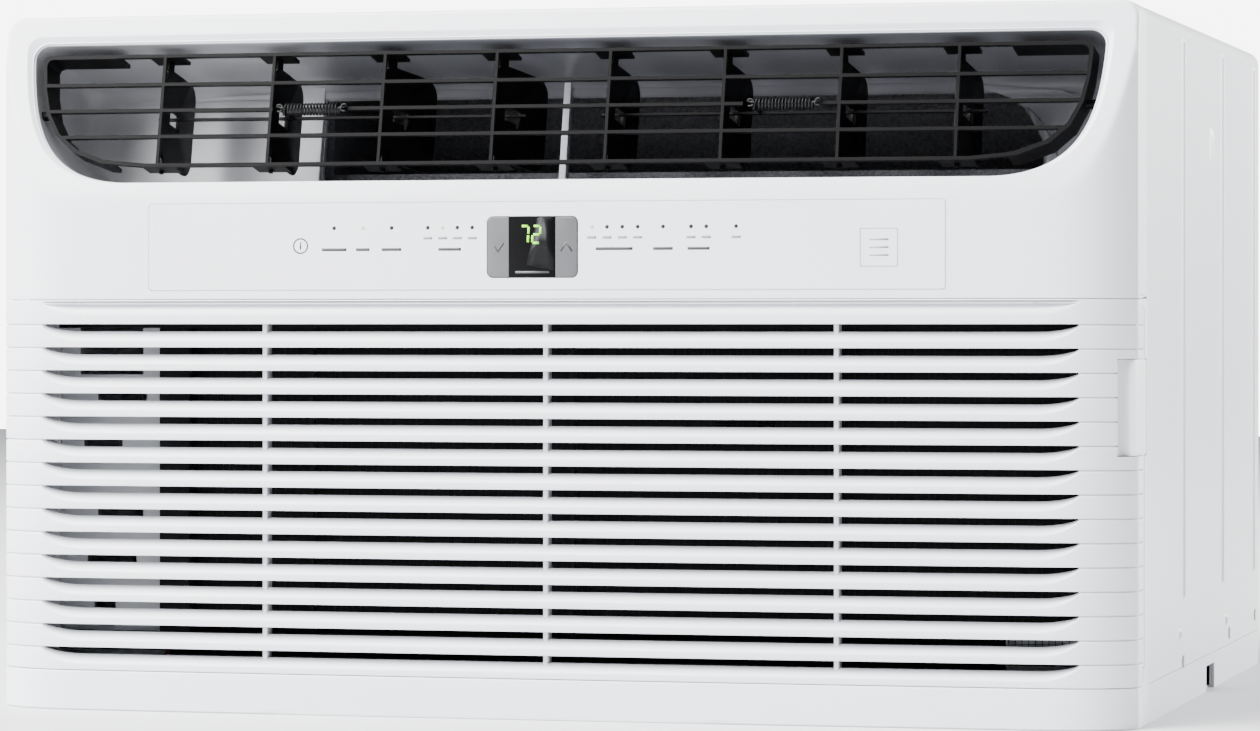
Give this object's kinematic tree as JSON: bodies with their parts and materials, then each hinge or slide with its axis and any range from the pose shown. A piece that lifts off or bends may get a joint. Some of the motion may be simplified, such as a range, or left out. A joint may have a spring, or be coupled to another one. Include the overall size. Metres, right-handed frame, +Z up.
{
  "type": "window air conditioner",
  "caption": "Sleeve-type room air conditioner with tilting outlet louver, turning vanes, slatted intake grille, slide-out filter and a fan, compressor and coils in a steel cabinet.",
  "frame": {"origin": "middle of the bounding box, on the surface the unit stands on", "axes": "+X to the right seen from the front, -Y out of the front, +Z up"},
  "size_m": [0.61, 0.511, 0.368],
  "materials": {
    "white_abs": "satin",
    "grey_abs": "satin",
    "black_abs": "satin",
    "smoked_window": "polished",
    "grey_key": "satin",
    "painted_steel": "satin",
    "galvanised_steel": "satin",
    "fin_aluminium": "satin",
    "tube_copper": "satin",
    "black_paint": "satin",
    "foam": "matte",
    "rubber": "matte",
    "circuit_board": "satin",
    "spring_steel": "satin",
    "filter_net": "matte"
  },
  "bodies": {
    "root": {"front_panel": "white_abs", "intake_grille": "white_abs", "control_overlay": "white_abs", "outlet_duct": "grey_abs", "control_box": "grey_abs", "air_guide": "grey_abs", "fan_shroud": "black_abs", "thermistor": "black_abs", "display_window": "smoked_window", "base_pan": "painted_steel", "cabinet_wrap": "painted_steel", "rear_grille": "painted_steel", "bulkhead": "galvanised_steel", "fan_motor": "galvanised_steel", "motor_bracket": "galvanised_steel", "screw_right_1": "galvanised_steel", "screw_right_2": "galvanised_steel", "screw_right_3": "galvanised_steel", "screw_left_1": "galvanised_steel", "screw_left_2": "galvanised_steel", "screw_left_3": "galvanised_steel", "evaporator_fins": "fin_aluminium", "condenser_fins": "fin_aluminium", "run_capacitor": "fin_aluminium", "evaporator_bends_left": "tube_copper", "evaporator_bends_right": "tube_copper", "condenser_bends": "tube_copper", "suction_line": "tube_copper", "discharge_line": "tube_copper", "filter_drier": "tube_copper", "capillary_tube": "tube_copper", "compressor": "black_paint", "accumulator": "black_paint", "blower_scroll": "foam", "drain_pan": "foam", "cord_gland": "rubber", "compressor_grommet_1": "rubber", "compressor_grommet_2": "rubber", "compressor_grommet_3": "rubber", "control_board": "circuit_board"},
    "filter": {"air_filter": "white_abs", "filter_mesh": "filter_net"},
    "rotor": {"motor_shaft": "galvanised_steel", "blower_wheel": "black_abs", "condenser_fan": "black_abs"},
    "louver": {"louver_frame": "black_abs"},
    "tie_left": {"tie_bar_left": "black_abs", "spring_left": "spring_steel"},
    "tie_right": {"tie_bar_right": "black_abs", "spring_right": "spring_steel"},
    "button_down": {"key_down": "grey_key"},
    "button_up": {"key_up": "grey_key"},
    "vane_1": {"vane_1": "black_abs"},
    "vane_2": {"vane_2": "black_abs"},
    "vane_3": {"vane_3": "black_abs"},
    "vane_4": {"vane_4": "black_abs"},
    "vane_5": {"vane_5": "black_abs"},
    "vane_6": {"vane_6": "black_abs"},
    "vane_7": {"vane_7": "black_abs"},
    "vane_8": {"vane_8": "black_abs"}
  },
  "joints": [
    {"name": "louver_tilt", "type": "hinge", "parent": "root", "child": "louver", "pos_m": [0, -0.23148, 0.31502], "axis": [1, 0, 0], "range_deg": [-15, 15]},
    {"name": "filter_slide", "type": "slide", "parent": "root", "child": "filter", "axis": [1, 0, 0], "range_m": [0, 0.6]},
    {"name": "rotor_spin", "type": "hinge", "parent": "root", "child": "rotor", "pos_m": [0.06, 0, 0.158], "axis": [0, 1, 0], "continuous": true},
    {"name": "key_down_press", "type": "slide", "parent": "root", "child": "button_down", "axis": [0, 1, 0], "range_m": [0, 0.001], "stiffness_N_per_m": 400},
    {"name": "key_up_press", "type": "slide", "parent": "root", "child": "button_up", "axis": [0, 1, 0], "range_m": [0, 0.001], "stiffness_N_per_m": 400},
    {"name": "vane_1_turn", "type": "hinge", "parent": "louver", "child": "vane_1", "pos_m": [-0.21385, -0.23099, 0.31491], "axis": [0, -0.225, -0.9744], "range_deg": [-16, 15]},
    {"name": "vane_2_turn", "type": "hinge", "parent": "louver", "child": "vane_2", "pos_m": [-0.15275, -0.23099, 0.31491], "axis": [0, -0.225, -0.9744], "range_deg": [-16, 15]},
    {"name": "vane_3_turn", "type": "hinge", "parent": "louver", "child": "vane_3", "pos_m": [-0.09165, -0.23099, 0.31491], "axis": [0, -0.225, -0.9744], "range_deg": [-16, 15]},
    {"name": "vane_4_turn", "type": "hinge", "parent": "louver", "child": "vane_4", "pos_m": [-0.03055, -0.23099, 0.31491], "axis": [0, -0.225, -0.9744], "range_deg": [-16, 15]},
    {"name": "vane_5_turn", "type": "hinge", "parent": "louver", "child": "vane_5", "pos_m": [0.03055, -0.23099, 0.31491], "axis": [0, -0.225, -0.9744], "range_deg": [-30, 22]},
    {"name": "vane_6_turn", "type": "hinge", "parent": "louver", "child": "vane_6", "pos_m": [0.09165, -0.23099, 0.31491], "axis": [0, -0.225, -0.9744], "range_deg": [-30, 22]},
    {"name": "vane_7_turn", "type": "hinge", "parent": "louver", "child": "vane_7", "pos_m": [0.15275, -0.23099, 0.31491], "axis": [0, -0.225, -0.9744], "range_deg": [-30, 22]},
    {"name": "vane_8_turn", "type": "hinge", "parent": "louver", "child": "vane_8", "pos_m": [0.21385, -0.23099, 0.31491], "axis": [0, -0.225, -0.9744], "range_deg": [-30, 22]},
    {"name": "tie_left_slide", "type": "slide", "parent": "louver", "child": "tie_left", "axis": [1, 0, 0], "range_m": [-0.0028, 0.00263], "deforming": ["spring_left"]},
    {"name": "tie_right_slide", "type": "slide", "parent": "louver", "child": "tie_right", "axis": [1, 0, 0], "range_m": [-0.00525, 0.00385], "deforming": ["spring_right"]}
  ],
  "couplings": [
    {"joint": "vane_2_turn", "follows": "vane_1_turn", "ratio": 1},
    {"joint": "vane_3_turn", "follows": "vane_1_turn", "ratio": 1},
    {"joint": "vane_4_turn", "follows": "vane_1_turn", "ratio": 1},
    {"joint": "vane_6_turn", "follows": "vane_5_turn", "ratio": 1},
    {"joint": "vane_7_turn", "follows": "vane_5_turn", "ratio": 1},
    {"joint": "vane_8_turn", "follows": "vane_5_turn", "ratio": 1},
    {"joint": "tie_left_slide", "follows": "vane_1_turn", "m_per_rad": 0.01},
    {"joint": "tie_right_slide", "follows": "vane_5_turn", "m_per_rad": 0.01}
  ]
}
